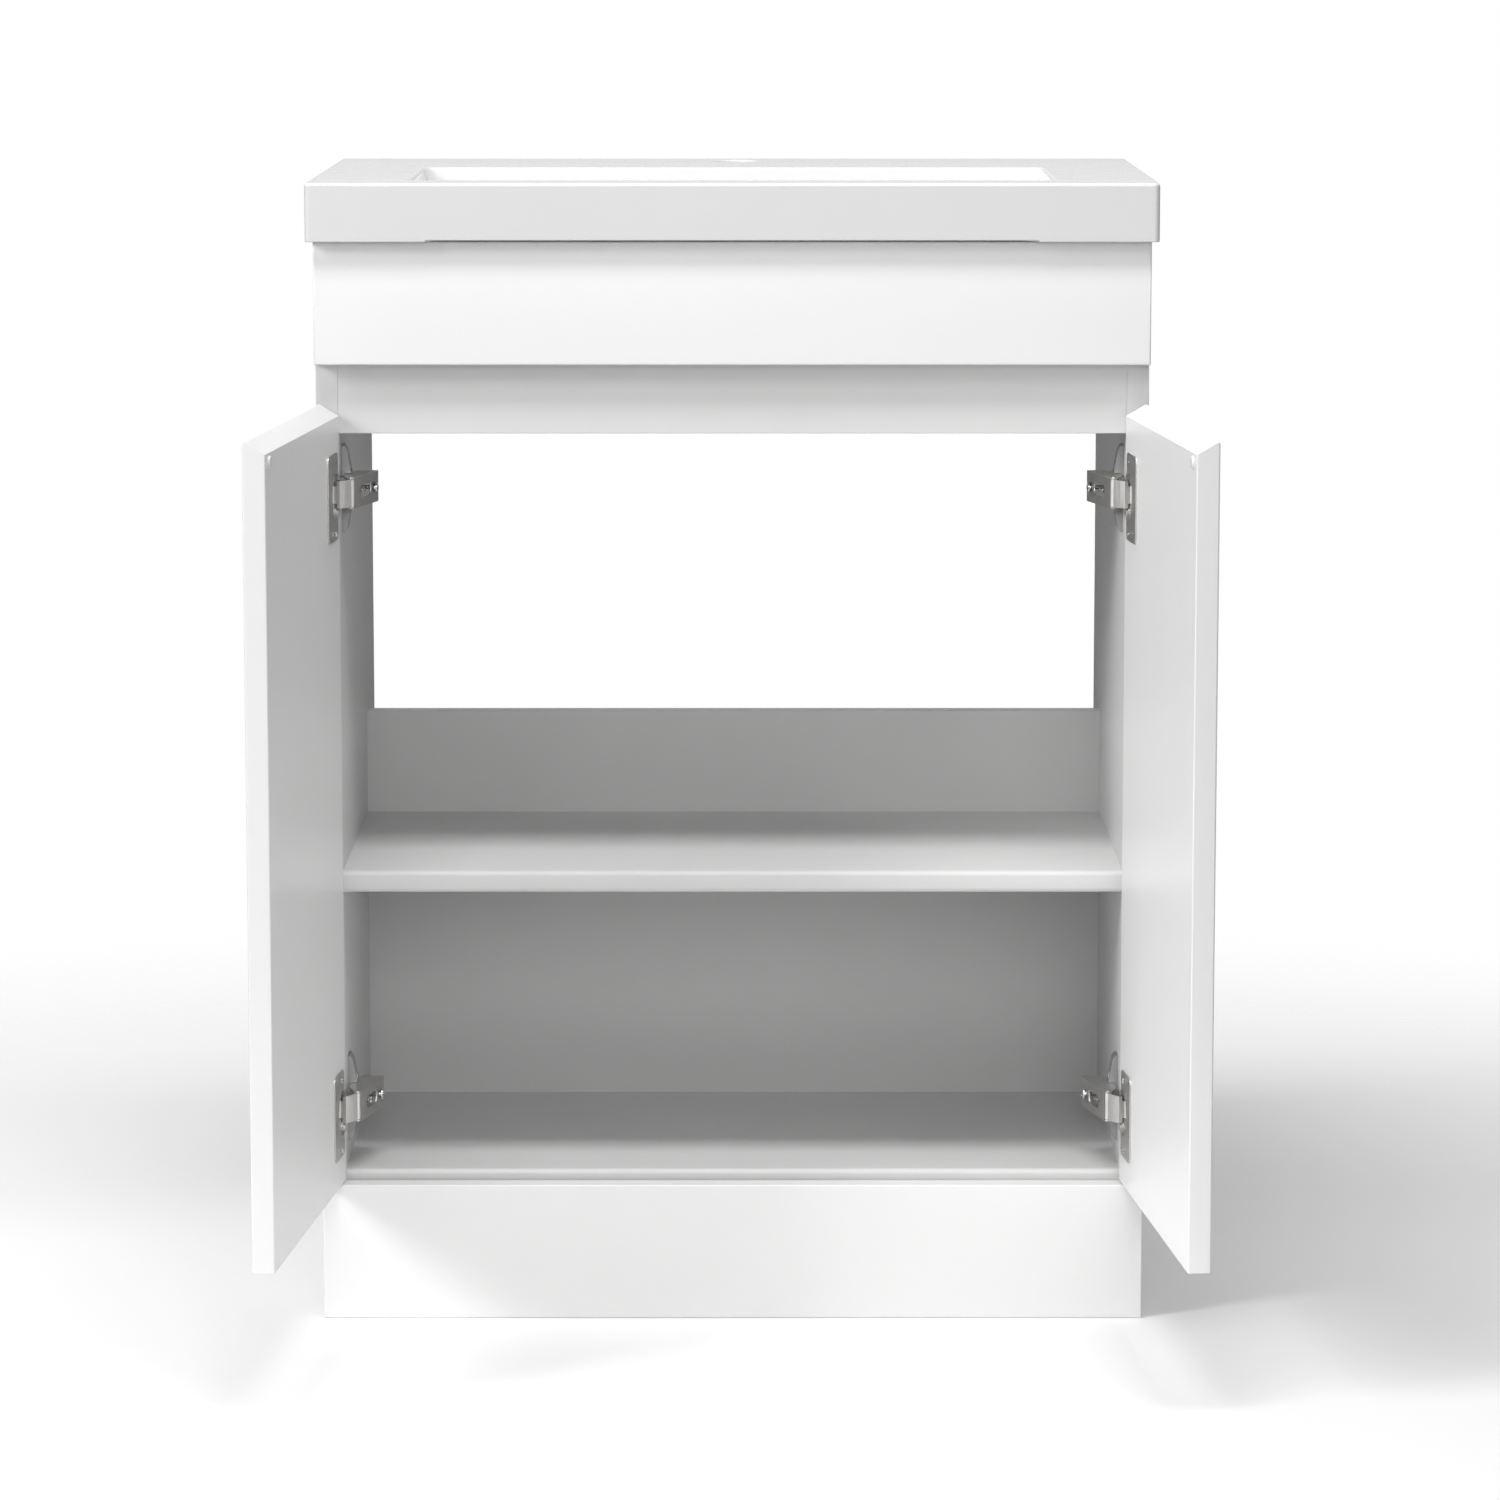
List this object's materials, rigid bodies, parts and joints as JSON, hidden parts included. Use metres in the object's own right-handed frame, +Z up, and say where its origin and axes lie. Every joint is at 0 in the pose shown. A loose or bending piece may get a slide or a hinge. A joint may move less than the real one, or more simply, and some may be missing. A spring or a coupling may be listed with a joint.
{
  "type": "bathroom vanity cabinet",
  "caption": "Floor-standing white vanity cabinet with a wide wash basin, two hinged doors, a shelf and an open service back.",
  "frame": {"origin": "on the floor, in the middle of the carcass front plane", "axes": "+X to the right seen from the front, +Y to the wall, +Z up"},
  "size_m": [0.655, 0.6725, 0.831],
  "materials": {
    "white_carcass": "satin white laminate on board",
    "white_front": "satin white lacquer on board",
    "basin_glaze": "glossy white glaze",
    "hinge_nickel": "nickel plated, satin",
    "screw_steel": "bright zinc plated",
    "beech": "raw beech",
    "cam_zinc": "die-cast zinc",
    "buffer_plastic": "soft translucent plastic"
  },
  "bodies": {
    "carcass": {"side_panel_left": "white_carcass", "side_panel_right": "white_carcass", "floor_panel": "white_carcass", "shelf": "white_carcass", "lower_back_panel": "white_carcass", "front_top_rail": "white_carcass", "rear_top_rail": "white_carcass", "plinth_block_left": "white_carcass", "plinth_block_right": "white_carcass", "fascia_panel": "white_front", "plinth_panel": "white_front", "basin": "basin_glaze", "carcass_dowels": "beech", "cam_nuts": "cam_zinc", "cam_bolts": "screw_steel", "fascia_screws": "screw_steel", "plinth_screws": "screw_steel", "plate_screws": "screw_steel", "side_adjusting_screws": "screw_steel", "arm_fixing_screws": "screw_steel", "shelf_pins": "hinge_nickel", "hinge_arm_pins": "hinge_nickel", "hinge_arm_left_lower": "hinge_nickel", "mounting_plate_left_lower": "hinge_nickel", "hinge_arm_left_upper": "hinge_nickel", "mounting_plate_left_upper": "hinge_nickel", "hinge_arm_right_lower": "hinge_nickel", "mounting_plate_right_lower": "hinge_nickel", "hinge_arm_right_upper": "hinge_nickel", "mounting_plate_right_upper": "hinge_nickel"},
    "links_left": {"hinge_link_left_lower": "hinge_nickel", "hinge_link_left_upper": "hinge_nickel"},
    "leaf_left": {"door_left": "white_front", "hinge_cup_left_lower": "hinge_nickel", "hinge_cup_left_upper": "hinge_nickel", "cup_pins_left": "hinge_nickel", "cup_screws_left": "screw_steel", "door_buffer_left": "buffer_plastic"},
    "links_right": {"hinge_link_right_lower": "hinge_nickel", "hinge_link_right_upper": "hinge_nickel"},
    "leaf_right": {"door_right": "white_front", "hinge_cup_right_lower": "hinge_nickel", "hinge_cup_right_upper": "hinge_nickel", "cup_pins_right": "hinge_nickel", "cup_screws_right": "screw_steel", "door_buffer_right": "buffer_plastic"}
  },
  "joints": [
    {"name": "link_left_turn", "type": "hinge", "parent": "carcass", "child": "links_left", "pos_m": [-0.275, -0.001, 0.156], "axis": [0, 0, 1], "range_deg": [-28, 0]},
    {"name": "door_left_turn", "type": "hinge", "parent": "links_left", "child": "leaf_left", "pos_m": [-0.28749, -0.0133, 0.156], "axis": [0, 0, 1], "range_deg": [0, 123.5]},
    {"name": "link_right_turn", "type": "hinge", "parent": "carcass", "child": "links_right", "pos_m": [0.275, -0.001, 0.156], "axis": [0, 0, -1], "range_deg": [-28, 0]},
    {"name": "door_right_turn", "type": "hinge", "parent": "links_right", "child": "leaf_right", "pos_m": [0.28749, -0.0133, 0.156], "axis": [0, 0, -1], "range_deg": [0, 123.5]}
  ],
  "couplings": [
    {"joint": "link_left_turn", "follows": "door_left_turn", "ratio": -0.2267},
    {"joint": "link_right_turn", "follows": "door_right_turn", "ratio": -0.2267}
  ]
}
